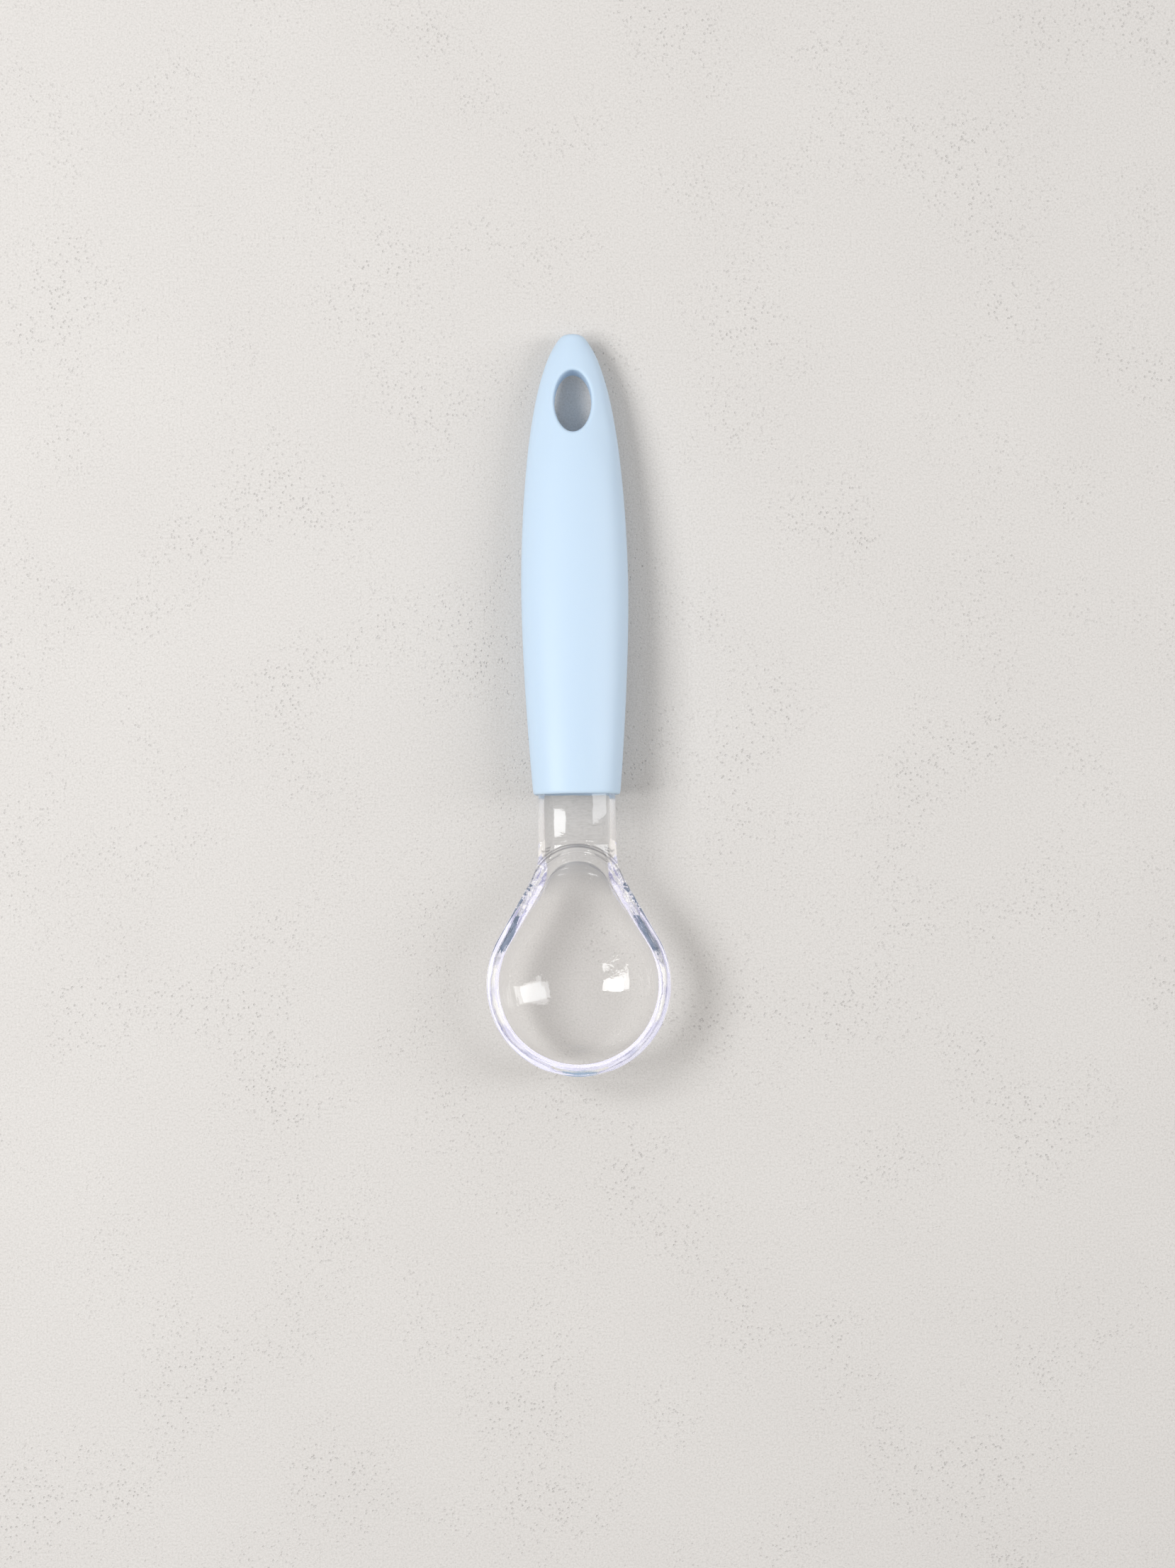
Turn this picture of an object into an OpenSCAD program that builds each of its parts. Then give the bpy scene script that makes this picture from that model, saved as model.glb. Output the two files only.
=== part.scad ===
// Ice cream spoon: a clear moulded scoop whose tang is held in a light blue handle.
// Millimetres, +Z up. The spoon lies as it rests, with the floor at Z = 0, the handle
// towards +Y, the bowl towards -Y, and the origin on the floor under the middle of its length.

/* [Handle] */
// Length of the handle from its mouth to its tail
handle_len = 112; // [95:1:130]
// Greatest width of the handle
handle_w = 26.1; // [23:0.1:30]
// Greatest thickness of the handle
handle_t = 17; // [15.5:0.1:19]
// Distance of the widest place from the tail
widest_at = 64; // [50:1:75]
// Width of the handle at its mouth
mouth_w = 21; // [20.4:0.1:22.5]
// Thickness of the handle at its mouth
mouth_t = 14; // [13.6:0.1:15]
// Rounding of the edge round the mouth
mouth_round = 0.6; // [0.2:0.1:0.8]
// Bluntness of the tail, where 2 is an ellipse
tail_bluntness = 2.2; // [1.8:0.1:3]

/* [Hanging hole] */
// Width of the oval hole at its narrowest
hole_w = 9.2; // [6:0.1:9.5]
// Length of the oval hole at its narrowest
hole_len = 15.4; // [9:0.1:16]
// Distance of the hole's centre from the tail
hole_from_tail = 17; // [15:0.1:24]
// Rounding of the hole's edges
hole_round = 0.8; // [0.6:0.1:1.5]

/* [Bowl] */
// Width of the bowl over its rim
bowl_w = 44.5; // [40:0.5:50]
// Height of the rim above the floor
bowl_h = 16; // [15:0.5:20]
// Width of the rim's band
rim_w = 3.1; // [2.6:0.1:3.8]
// Thickness of the bowl's floor
floor_t = 3; // [2:0.1:4]
// Rounding of the rim's edges
rim_round = 0.8; // [0.4:0.1:1]
// Radius of the cavity's end at the neck
arch_r = 8; // [6:0.5:10]
// Distance from the bowl's centre to the cavity's end at the neck
arch_reach = 29.5; // [28:0.5:31]

/* [Neck] */
// Width of the neck
neck_w = 18.6; // [17:0.1:18.8]
// Thickness of the neck
neck_t = 12; // [10:0.1:12.4]
// Distance from the bowl's centre to the handle's mouth
neck_reach = 45.5; // [43:0.5:55]
// Height of the rim above the middle of the neck
neck_drop = 3.4; // [2.5:0.1:4]
// Angle between the neck and the bowl's flank, seen from above
flare_deg = 30; // [26:0.5:33]
// Flat of the rim behind the cavity, before the step up to the neck
rim_back = 1.5; // [1:0.1:2]
// Radius of the hollow in the step up to the neck
step_r = 2.6; // [1.5:0.1:3.5]

/* [Tang] */
// Length of the tang inside the handle
tang_len = 58; // [40:1:66]
// Width of the tang at its end
tang_w = 11; // [8:0.1:13]
// Thickness of the tang at its end
tang_t = 6.5; // [5:0.1:8]
// Length of full neck section inside the mouth
collar_len = 8; // [4:1:14]
// Gap between the tang and its socket
fit_gap = 0.1; // [0.05:0.01:0.2]

/* [Hidden] */

HANDLE_BLUE = [0.78, 0.88, 0.97];
CLEAR = [0.90, 0.93, 0.96, 0.4];

// Points round a section, and steps along each stretch of a loft
HANDLE_SIDES = 40;
HALF_SIDES = 26;
EDGE_SIDES = 5;
SCOOP_SIDES = 2 * HALF_SIDES;
HOLE_SIDES = 44;
CUT_OVER = 4;
TIP = 0.004;
TIP_DEG = 0.3;
RIM_OVER = 0.2;
// How the handle's front curves in, from its widest place to its mouth
FRONT_POWER = 1.6;
// How softly the flank turns into the neck, and over what length this comes in
FLANK_SOFT = 1.2;
FLANK_SOFT_LEN = 8;
// Distance from the bowl's centre where the rim's section starts to turn into the neck's
RIM_END = 13;
// Softness of the turn from the bowl's underside into the neck's, and its reach past the rim
UNDER_SOFT = 3;

bowl_r = bowl_w / 2;

// Rim, cavity and neck, measured from the bowl's centre and the floor
edge_z = bowl_h - rim_round;
edge_r = rim_round + RIM_OVER;
cavity_r = bowl_r - rim_w;
cavity_d = bowl_h - floor_t;
neck_z = bowl_h - neck_drop;
neck_start = arch_reach + rim_back;
flank_y = bowl_r * sin(flare_deg);
flank_x = bowl_r * cos(flare_deg);
under_reach = neck_start + UNDER_SOFT;
flank_end = neck_start + step_r + rim_back;
front_len = handle_len - widest_at;

function mix(a, b, t) = a + (b - a) * t;
function clamp01(t) = max(0, min(1, t));
function reversed(v) = [for (i = [len(v) - 1 : -1 : 0]) v[i]];
function ease(t) = let (u = clamp01(t)) u * u * (3 - 2 * u);
function soft_min(a, b, k) = (a + b - sqrt((a - b) * (a - b) + k * k)) / 2;
function soft_max(a, b, k) = -soft_min(-a, -b, k);

// Half of the handle's width or thickness at a distance from its tail
function handle_half(s, full, mouth) =
    s < widest_at
        ? full / 2 * pow(1 - pow(1 - s / widest_at, 2), 1 / tail_bluntness)
        : full / 2 - (full - mouth) / 2 * pow((s - widest_at) / front_len, FRONT_POWER);
function handle_x(s) = handle_half(s, handle_w, mouth_w);
function handle_z(s) = handle_half(s, handle_t, mouth_t);

// The handle leans down towards its tail until its underside meets the floor
neck_bend = (neck_reach - neck_start) / 2;
lean = min([for (s = [1 : handle_len - 10]) (neck_z - handle_z(s)) / (handle_len - s + neck_bend)]);
tilt = atan(lean);
mouth_z = neck_z - lean * neck_bend;
total_len = bowl_r + neck_reach + handle_len * cos(tilt);
bowl_y = bowl_r - total_len / 2;
mouth_y = bowl_y + neck_reach;

// An oval section, w and h from its middle to its sides. It stands at [y, z] and leans by a.
function oval(y, z, a, w, h, sides) = [
    for (i = [0 : sides - 1])
        let (q = 360 * i / sides, v = h * sin(q))
        [w * cos(q), y + v * sin(a), z + v * cos(a)]
];

// Skins a list of rings that all have as many points, and closes both ends
module loft(rings) {
    n = len(rings[0]);
    last = (len(rings) - 1) * n;
    sides = [for (r = [0 : len(rings) - 2], i = [0 : n - 1])
        let (a = r * n + i, b = r * n + (i + 1) % n)
        each [[a, a + n, b], [b, a + n, b + n]]];
    polyhedron(
        points = [for (ring = rings) each ring],
        faces = concat(sides, [[for (i = [0 : n - 1]) i]], [[for (i = [n - 1 : -1 : 0]) last + i]]),
        convexity = 6
    );
}

// The handle's own frame: its axis along Y from the mouth to the tail, and Z out of its upper face
module in_handle_frame() {
    translate([0, mouth_y, mouth_z]) rotate([-tilt, 0, 0]) children();
}

function handle_ring(s, inset) =
    oval(handle_len - s, 0, 0, handle_x(s) - inset, handle_z(s) - inset, HANDLE_SIDES);

// One section of the tang at d into the handle's mouth, or of its socket if it grows
function tang_ring(d, inset, grow, y, z, a, sides) =
    let (t = clamp01((d - collar_len) / (tang_len - collar_len)))
    let (w = mix(neck_w, tang_w, t) / 2 - inset + grow, h = mix(neck_t, tang_t, t) / 2 - inset + grow)
    oval(y + d * cos(a), z - d * sin(a), a, w, h, sides);

function tang_rings(grow, y, z, a, sides) = concat(
    [for (d = [0, collar_len / 2, collar_len, (collar_len + tang_len) / 2])
        tang_ring(d, 0, grow, y, z, a, sides)],
    [for (q = [0 : 30 : 90])
        tang_ring(tang_len - 1 + sin(q) + grow, 1 - cos(q), grow, y, z, a, sides)]
);

// The outside of the handle from its tail to its mouth, and then the socket inside it
module handle_form() {
    tail = [for (q = [0 : 5 : 90]) max(TIP, widest_at * (1 - cos(q)))];
    front = [for (i = [1 : 12]) widest_at + (front_len - mouth_round) * i / 12];
    loft(concat(
        [for (s = concat(tail, front)) handle_ring(s, 0)],
        [for (q = [30 : 30 : 90])
            handle_ring(handle_len - mouth_round * (1 - sin(q)), mouth_round * (1 - cos(q)))],
        tang_rings(fit_gap, 0, 0, 0, HANDLE_SIDES)
    ));
}

// Height of the handle's upper face above its axis
function face_z(x, s) = handle_z(s) * sqrt(max(0, 1 - pow(x / handle_x(s), 2)));

// One ring of the hole, out by e from its narrowest and h below the face of the handle
function hole_ring(e, h, side) = [
    for (i = [0 : HOLE_SIDES - 1])
        let (q = 360 * i / HOLE_SIDES)
        let (x = (hole_w / 2 + e) * cos(q), s = hole_from_tail - (hole_len / 2 + e) * sin(q))
        [x, handle_len - s, side * (face_z(x, s) - h)]
];

module hanging_hole() {
    turns = [for (q = [0 : 16 : 80]) [hole_round * (1 - cos(q)), hole_round * (1 - sin(q))]];
    out = turns[len(turns) - 1];
    over = [out.x + CUT_OVER / 2, out.y - CUT_OVER];
    edge = concat(turns, [over]);
    loft(concat(
        [for (i = [len(edge) - 1 : -1 : 0]) hole_ring(edge[i].x, edge[i].y, -1)],
        [for (p = edge) hole_ring(p.x, p.y, 1)]
    ));
}

// Half width of the scoop at y from the bowl's centre, and the height of its underside
function flank_half(y) =
    let (soft = FLANK_SOFT * clamp01((y - flank_y) / FLANK_SOFT_LEN))
    soft_max(neck_w / 2, flank_x - (y - flank_y) * tan(flare_deg), soft);
function scoop_half(y, inset) =
    y < flank_y ? sqrt(max(0, pow(bowl_r - inset, 2) - y * y)) : flank_half(y) - inset / cos(flare_deg);
function under_oval(y, reach) = edge_z * (1 - sqrt(max(0, 1 - pow(y / reach, 2))));
function under_z(y) =
    y < 0 ? under_oval(y, bowl_r)
          : soft_min(under_oval(y, under_reach), neck_z - neck_t / 2, UNDER_SOFT * clamp01(y / under_reach));

// Sideways place of point i of the rim's section, which has a rounded edge beside a flat top
function rim_x(i, w, w_in) =
    i < EDGE_SIDES ? w_in + (w - w_in) * cos(90 * i / EDGE_SIDES)
    : i > HALF_SIDES - EDGE_SIDES ? -rim_x(HALF_SIDES - i, w, w_in)
    : w_in * (1 - 2 * (i - EDGE_SIDES) / (HALF_SIDES - 2 * EDGE_SIDES));

// Rise of the rim's rounded edge, which depends on how far inside the outline a point is
function edge_rise(x, y, w) =
    let (inside = y < flank_y ? bowl_r - norm([x, y]) : (w - abs(x)) * cos(flare_deg))
    let (u = clamp01(inside / edge_r))
    edge_r * sqrt(u * (2 - u));

// One section of the scoop at y from the bowl's centre, which is a rim that turns into the neck
function scoop_ring(y) =
    let (rim = ease((neck_start - y) / (neck_start - RIM_END)), bend = max(0, y - neck_start))
    let (z = mix(neck_z - lean * bend * bend / (4 * neck_bend), edge_z, rim))
    let (a = tilt * bend / (2 * neck_bend))
    let (w = scoop_half(y, 0), w_in = max(w / 3, scoop_half(y, edge_r)), down = z - under_z(y))
    concat(
        [for (i = [0 : HALF_SIDES - 1])
            let (q = 180 * i / HALF_SIDES, x = mix(w * cos(q), rim_x(i, w, w_in), rim))
            let (v = mix(neck_t / 2 * sin(q), edge_rise(x, y, w), rim))
            [x, bowl_y + y + v * sin(a), z + v * cos(a)]],
        [for (i = [0 : HALF_SIDES - 1])
            let (q = 180 * (1 + i / HALF_SIDES), v = down * sin(q))
            [w * cos(q), bowl_y + y + v * sin(a), z + v * cos(a)]]
    );

module scoop_form() {
    front = [for (q = [0 : 6.2 : 87 + flare_deg]) -bowl_r * cos(max(q, TIP_DEG))];
    flank = [for (i = [0 : 14]) mix(flank_y, flank_end, i / 14)];
    neck = [for (i = [1 : 2]) mix(flank_end, neck_reach, i / 3)];
    loft(reversed(concat(
        [for (y = concat(front, flank, neck)) scoop_ring(y)],
        tang_rings(0, mouth_y, mouth_z, tilt, SCOOP_SIDES)
    )));
}

// The cavity's outline: a large round, a small one towards the neck, and their tangents
function teardrop(r, end_r, reach) =
    let (far = reach - end_r, lean_deg = asin((r - end_r) / far))
    let (big = 180 + 2 * lean_deg, small = 180 - 2 * lean_deg, n = SCOOP_SIDES / 2 + 10, m = SCOOP_SIDES - n)
    concat(
        [for (i = [0 : n - 1])
            let (q = 180 - lean_deg + big * i / (n - 1))
            [r * cos(q), r * sin(q)]],
        [for (i = [0 : m - 1])
            let (q = lean_deg + small * i / (m - 1))
            [end_r * cos(q), far + end_r * sin(q)]]
    );

function cavity_ring(f, e, z) = [
    for (p = teardrop(cavity_r + e, arch_r + e, arch_reach + e)) [f * p.x, bowl_y + f * p.y, z]
];

module cavity() {
    r = rim_round;
    loft(concat(
        [for (q = [89.7, 85, 79, 73, 67, 61, 55, 49, 43, 37, 31, 25, 19, 13])
            cavity_ring(cos(q), 0, bowl_h - cavity_d * sin(q))],
        [for (q = [0 : 15 : 75]) cavity_ring(1, r * (1 - cos(q)), bowl_h - r * (1 - sin(q)))],
        [cavity_ring(1, r + CUT_OVER, bowl_h + CUT_OVER)]
    ));
}

// Levels the rim, and hollows the step that goes up from it to the neck
module rim_cut() {
    e = arch_r + rim_back;
    function ring(out, up) = [
        for (p = teardrop(bowl_r + 1 + out, e + out, neck_start + out)) [p.x, bowl_y + p.y, bowl_h + up]
    ];
    loft(concat(
        [for (q = [0 : 15 : 90]) ring(step_r * sin(q), step_r * (1 - cos(q)))],
        [ring(step_r, neck_t)]
    ));
}

module handle() {
    color(HANDLE_BLUE) in_handle_frame() difference() {
        handle_form();
        hanging_hole();
    }
}

module scoop() {
    color(CLEAR) difference() {
        scoop_form();
        rim_cut();
        cavity();
    }
}

handle();
scoop();
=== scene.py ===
"""An ice cream spoon: a clear moulded scoop held in a light blue handle, lying on a pale floor.

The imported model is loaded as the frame. Each operator makes one piece over its CAD node, and the
last one makes the floor, the lamps, the world and the camera. Sizes in the code are millimetres
until a ring is placed, and everything in the scene is in metres.
"""

import math

import bmesh
import bpy
from mathutils import Euler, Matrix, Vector


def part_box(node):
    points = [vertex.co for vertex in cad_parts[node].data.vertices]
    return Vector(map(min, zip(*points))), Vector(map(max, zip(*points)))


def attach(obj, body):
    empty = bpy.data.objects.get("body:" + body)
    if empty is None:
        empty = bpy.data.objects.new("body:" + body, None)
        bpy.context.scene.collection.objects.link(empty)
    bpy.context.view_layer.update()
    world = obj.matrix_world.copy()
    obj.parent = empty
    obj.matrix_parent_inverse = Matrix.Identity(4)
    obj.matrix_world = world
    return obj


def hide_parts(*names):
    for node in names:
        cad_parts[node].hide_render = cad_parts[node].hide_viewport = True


bl_info = {
    "name": "Ice cream spoon",
    "version": (1, 0, 0),
    "blender": (4, 5, 0),
    "location": "View3D > Sidebar > Spoon",
    "description": "Makes a clear ice cream scoop in its light blue handle, and a studio round it",
    "category": "Add Mesh",
}

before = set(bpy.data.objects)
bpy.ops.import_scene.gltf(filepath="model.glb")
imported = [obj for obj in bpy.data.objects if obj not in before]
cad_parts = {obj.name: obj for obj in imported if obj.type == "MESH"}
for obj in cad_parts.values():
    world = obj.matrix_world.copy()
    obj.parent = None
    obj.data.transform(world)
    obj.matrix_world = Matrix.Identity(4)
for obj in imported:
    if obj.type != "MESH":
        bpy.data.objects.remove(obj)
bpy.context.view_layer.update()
SCOOP_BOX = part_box("scoop")

MM = 0.001


def millimetres(box, corner, axis):
    """Returns one side of a node's box, as the CAD has it, in millimetres."""
    return box[corner][axis] / MM


class SpoonSizes(bpy.types.PropertyGroup):
    """Sizes of the spoon in millimetres, as in the CAD."""

    handle_len: bpy.props.FloatProperty(
        name="Handle length", description="From the mouth to the tail", default=112.0, min=60.0)
    handle_w: bpy.props.FloatProperty(
        name="Handle width", description="Greatest width of the handle", default=26.1, min=10.0)
    handle_t: bpy.props.FloatProperty(
        name="Handle thickness", description="Greatest thickness of the handle", default=17.0, min=8.0)
    widest_at: bpy.props.FloatProperty(
        name="Widest place", description="Distance of the widest place from the tail", default=64.0)
    mouth_w: bpy.props.FloatProperty(
        name="Mouth width", description="Width of the handle at its mouth", default=21.0)
    mouth_t: bpy.props.FloatProperty(
        name="Mouth thickness", description="Thickness of the handle at its mouth", default=14.0)
    tail_bluntness: bpy.props.FloatProperty(
        name="Tail bluntness", description="Roundness of the tail, where 2 is an ellipse", default=2.2)
    hole_w: bpy.props.FloatProperty(
        name="Hole width", description="Width of the hanging hole at its narrowest", default=9.2)
    hole_len: bpy.props.FloatProperty(
        name="Hole length", description="Length of the hanging hole at its narrowest", default=15.4)
    hole_from_tail: bpy.props.FloatProperty(
        name="Hole place", description="Distance of the hole's centre from the tail", default=17.0)
    hole_round: bpy.props.FloatProperty(
        name="Hole rounding", description="Rounding of the hole's edges", default=0.8)
    bowl_w: bpy.props.FloatProperty(
        name="Bowl width", description="Width of the bowl over its rim", default=44.5)
    bowl_h: bpy.props.FloatProperty(
        name="Bowl height", description="Height of the rim above the floor", default=16.0)
    rim_w: bpy.props.FloatProperty(
        name="Rim width", description="Width of the rim's band", default=3.1)
    rim_round: bpy.props.FloatProperty(
        name="Rim rounding", description="Rounding of the rim's edges", default=0.8)
    floor_t: bpy.props.FloatProperty(
        name="Bowl floor", description="Thickness of the bowl's floor", default=3.0)
    arch_r: bpy.props.FloatProperty(
        name="Cavity end", description="Radius of the cavity's end at the neck", default=8.0)
    arch_reach: bpy.props.FloatProperty(
        name="Cavity reach", description="From the bowl's centre to the cavity's end", default=29.5)
    neck_w: bpy.props.FloatProperty(
        name="Neck width", description="Width of the neck", default=18.6)
    neck_t: bpy.props.FloatProperty(
        name="Neck thickness", description="Thickness of the neck", default=12.0)
    neck_reach: bpy.props.FloatProperty(
        name="Neck reach", description="From the bowl's centre to the handle's mouth", default=45.5)
    neck_drop: bpy.props.FloatProperty(
        name="Neck drop", description="Height of the rim above the middle of the neck", default=3.4)
    flare_deg: bpy.props.FloatProperty(
        name="Flare", description="Degrees between the neck and the bowl's flank", default=30.0)
    rim_back: bpy.props.FloatProperty(
        name="Rim back", description="Flat of the rim behind the cavity", default=1.5)
    step_r: bpy.props.FloatProperty(
        name="Step hollow", description="Radius of the hollow in the step up to the neck", default=2.6)
    tang_len: bpy.props.FloatProperty(
        name="Tang length", description="Length of the tang inside the handle", default=58.0)
    tang_w: bpy.props.FloatProperty(
        name="Tang width", description="Width of the tang at its end", default=11.0)
    tang_t: bpy.props.FloatProperty(
        name="Tang thickness", description="Thickness of the tang at its end", default=6.5)
    collar_len: bpy.props.FloatProperty(
        name="Collar length", description="Full neck section inside the mouth", default=8.0)
    fit_gap: bpy.props.FloatProperty(
        name="Fit gap", description="Gap between the tang and its socket", default=0.1)


class SpoonColours(bpy.types.PropertyGroup):
    """Colours of the spoon and its floor, as linear values."""

    handle_blue: bpy.props.FloatVectorProperty(
        name="Handle", description="Light blue of the handle", subtype="COLOR", size=4,
        default=(0.57, 0.715, 0.865, 1.0), min=0.0, max=1.0)
    clear_tint: bpy.props.FloatVectorProperty(
        name="Clear plastic", description="Faint tint of the clear scoop", subtype="COLOR", size=4,
        default=(1.0, 0.995, 0.99, 1.0), min=0.0, max=1.0)
    floor_pale: bpy.props.FloatVectorProperty(
        name="Floor", description="Pale plaster of the floor", subtype="COLOR", size=4,
        default=(0.691, 0.673, 0.656, 1.0), min=0.0, max=1.0)


# Shapes that both pieces use

# How late the handle narrows from its widest place to its mouth, where 1 is a straight line
TAPER = 1.6
# The handle's last bit before its mouth, which the spoon doesn't rest on
MOUTH_FREE = 10


def mix(a, b, t):
    return a + (b - a) * t


def clamp01(t):
    return max(0.0, min(1.0, t))


def ease(t):
    u = clamp01(t)
    return u * u * (3 - 2 * u)


def soft_min(a, b, k):
    return (a + b - math.sqrt((a - b) ** 2 + k * k)) / 2


def soft_max(a, b, k):
    return -soft_min(-a, -b, k)


class Layout:
    """Places and heights that follow from the sizes, the same way as in the CAD."""

    def __init__(self, size):
        self.size = size
        self.bowl_r = size.bowl_w / 2
        self.bowl_y = millimetres(SCOOP_BOX, 0, 1) + self.bowl_r
        self.mouth_y = self.bowl_y + size.neck_reach
        self.neck_z = size.bowl_h - size.neck_drop
        self.neck_start = size.arch_reach + size.rim_back
        self.neck_bend = (size.neck_reach - self.neck_start) / 2
        self.lean = min(
            (self.neck_z - self.half(s, size.handle_t, size.mouth_t)) / (size.handle_len - s + self.neck_bend)
            for s in range(1, int(size.handle_len) + 1 - MOUTH_FREE)
        )
        self.tilt = math.atan(self.lean)
        self.mouth_z = self.neck_z - self.lean * self.neck_bend

    def half(self, s, full, mouth):
        """Half of the handle's width or thickness at s from its tail."""
        size = self.size
        if s < size.widest_at:
            share = max(0.0, 1 - (1 - s / size.widest_at) ** 2)
            return full / 2 * share ** (1 / size.tail_bluntness)
        front = (s - size.widest_at) / (size.handle_len - size.widest_at)
        return full / 2 - (full - mouth) / 2 * front ** TAPER

    def from_mouth(self, x, d, up):
        """Turns a place along the handle, d into its mouth, into the spoon's own frame."""
        y = self.mouth_y + d * math.cos(self.tilt) + up * math.sin(self.tilt)
        z = self.mouth_z - d * math.sin(self.tilt) + up * math.cos(self.tilt)
        return Vector((x, y, z)) * MM


def add_ring(bm, sides, place):
    """Starts a ring from a circle, and puts its points where place(turn) says. Returns its points and edges."""
    made = bmesh.ops.create_circle(bm, cap_ends=False, segments=sides, radius=1.0)
    verts = made["verts"]
    for k, vert in enumerate(verts):
        vert.co = place(2 * math.pi * k / sides)
    edges = dict.fromkeys(edge for vert in verts for edge in vert.link_edges)
    return verts, list(edges)


def skin(bm, rings):
    """Joins each ring to the next one, and closes the first and the last."""
    for (_, edges), (_, nexts) in zip(rings, rings[1:]):
        bmesh.ops.bridge_loops(bm, edges=edges + nexts)
    for _, edges in (rings[0], rings[-1]):
        bmesh.ops.contextual_create(bm, geom=edges)
    bmesh.ops.recalc_face_normals(bm, faces=bm.faces[:])


def finished_object(name, bm, material):
    """Turns a bmesh into a smooth object of the scene."""
    mesh = bpy.data.meshes.new(name)
    bm.to_mesh(mesh)
    bm.free()
    piece = bpy.data.objects.new(name, mesh)
    bpy.context.scene.collection.objects.link(piece)
    if material is not None:
        mesh.materials.append(material)
    for face in mesh.polygons:
        face.use_smooth = True
    return piece


def apply_modifiers(piece):
    """Leaves a piece with the mesh that its modifiers make."""
    graph = bpy.context.evaluated_depsgraph_get()
    mesh = bpy.data.meshes.new_from_object(piece.evaluated_get(graph))
    old = piece.data
    piece.modifiers.clear()
    piece.data = mesh
    bpy.data.meshes.remove(old)
    for face in piece.data.polygons:
        face.use_smooth = True


# Materials


class Graph:
    """Adds nodes to a tree. What their inputs are given is a value or another node's output."""

    def __init__(self, tree):
        self.nodes = tree.nodes
        self.links = tree.links

    def give(self, socket, value):
        if isinstance(value, bpy.types.NodeSocket):
            self.links.new(value, socket)
        else:
            socket.default_value = value

    def add(self, kind, inputs):
        """Adds a node. Its inputs are named, or numbered where their names are all the same."""
        node = self.nodes.new(kind)
        for name, value in inputs.items():
            self.give(node.inputs[name], value)
        return node

    def here(self):
        """The place in the scene, which is also the place in the piece."""
        return self.add("ShaderNodeTexCoord", {}).outputs["Object"]

    def maths(self, operation, *values):
        node = self.add("ShaderNodeMath", dict(enumerate(values)))
        node.operation = operation
        return node.outputs["Value"]

    def product(self, *values):
        result = values[0]
        for value in values[1:]:
            result = self.maths("MULTIPLY", result, value)
        return result

    def grade(self, value, first, last, low=0.0, high=1.0):
        """Goes from low to high while the value goes from first to last."""
        span = {"Value": value, "From Min": first, "From Max": last, "To Min": low, "To Max": high}
        return self.add("ShaderNodeMapRange", span).outputs["Result"]

    def blend(self, share, a, b, blend_type="MIX"):
        """Mixes two colours."""
        node = self.nodes.new("ShaderNodeMix")
        node.data_type = "RGBA"
        node.blend_type = blend_type
        for name, value in (("Factor", share), ("A", a), ("B", b)):
            self.give(node.inputs[name], value)
        return node.outputs["Result"]

    def noise(self, place, scale, detail, roughness=0.5):
        look = {"Vector": place, "Scale": scale, "Detail": detail, "Roughness": roughness}
        return self.add("ShaderNodeTexNoise", look).outputs["Fac"]

    def ramp(self, value, stops):
        """A colour ramp with these stops, each a place and a colour."""
        node = self.add("ShaderNodeValToRGB", {"Fac": value})
        elements = node.color_ramp.elements
        while len(elements) < len(stops):
            elements.new(0.5)
        for element, (place, colour) in zip(elements, stops):
            element.position = place
            element.color = (*colour, 1.0)
        return node.outputs["Color"]

    def bump(self, height, strength, distance):
        node = self.add("ShaderNodeBump", {"Height": height, "Strength": strength, "Distance": distance})
        return node.outputs["Normal"]


def new_material(name):
    """A material, the graph of its nodes, and its Principled shader."""
    material = bpy.data.materials.new(name)
    material.use_nodes = True
    tree = material.node_tree
    return material, Graph(tree), tree.nodes["Principled BSDF"]


def dress(graph, shader, inputs):
    for name, value in inputs.items():
        graph.give(shader.inputs[name], value)


def tinted(colour, red, green, blue):
    """A colour with each of its channels taken times a share."""
    return (colour[0] * red, colour[1] * green, colour[2] * blue, 1.0)


SURFACE = "Moulded surface"
SURFACE_INPUTS = (
    ("Wave size", 60.0), ("Grain size", 900.0), ("Grain share", 0.2), ("Roughness", 0.4), ("Roughness spread", 0.1))


def moulded_surface():
    """A node group for moulded plastic: slow waves of the mould and the fine grain of its skin."""
    if SURFACE in bpy.data.node_groups:
        return bpy.data.node_groups[SURFACE]
    group = bpy.data.node_groups.new(SURFACE, "ShaderNodeTree")
    face = group.interface
    for name, value in SURFACE_INPUTS:
        face.new_socket(name, in_out="INPUT", socket_type="NodeSocketFloat").default_value = value
    for name in ("Height", "Roughness"):
        face.new_socket(name, in_out="OUTPUT", socket_type="NodeSocketFloat")
    graph = Graph(group)
    given = graph.add("NodeGroupInput", {}).outputs
    place = graph.here()
    waves = graph.noise(place, given["Wave size"], 1.0)
    grain = graph.noise(place, given["Grain size"], 3.0)
    height = graph.add("ShaderNodeMix", {"Factor": given["Grain share"], "A": waves, "B": grain})
    low = graph.maths("SUBTRACT", given["Roughness"], given["Roughness spread"])
    high = graph.maths("ADD", given["Roughness"], given["Roughness spread"])
    rough = graph.grade(waves, 0.3, 0.7, low, high)
    graph.add("NodeGroupOutput", {"Height": height.outputs["Result"], "Roughness": rough})
    return group


def add_surface(graph, values):
    """Puts the moulded surface into a material with its own values. Returns its height and its roughness."""
    node = graph.nodes.new("ShaderNodeGroup")
    node.node_tree = moulded_surface()
    for (name, _), value in zip(SURFACE_INPUTS, values):
        graph.give(node.inputs[name], value)
    return node.outputs["Height"], node.outputs["Roughness"]


# Values of the moulded surface for each plastic, in the order of SURFACE_INPUTS
BLUE_SURFACE = (45.0, 2600.0, 0.75, 0.43, 0.04)
CLEAR_SURFACE = (120.0, 700.0, 0.06, 0.012, 0.008)
PLASTIC_IOR = 1.5
# How brightly the socket's wall glows with painted light: an emission that stands in for the light that seeps through
# it
PAINTED_SOCKET_GLOW = 0.42


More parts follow.
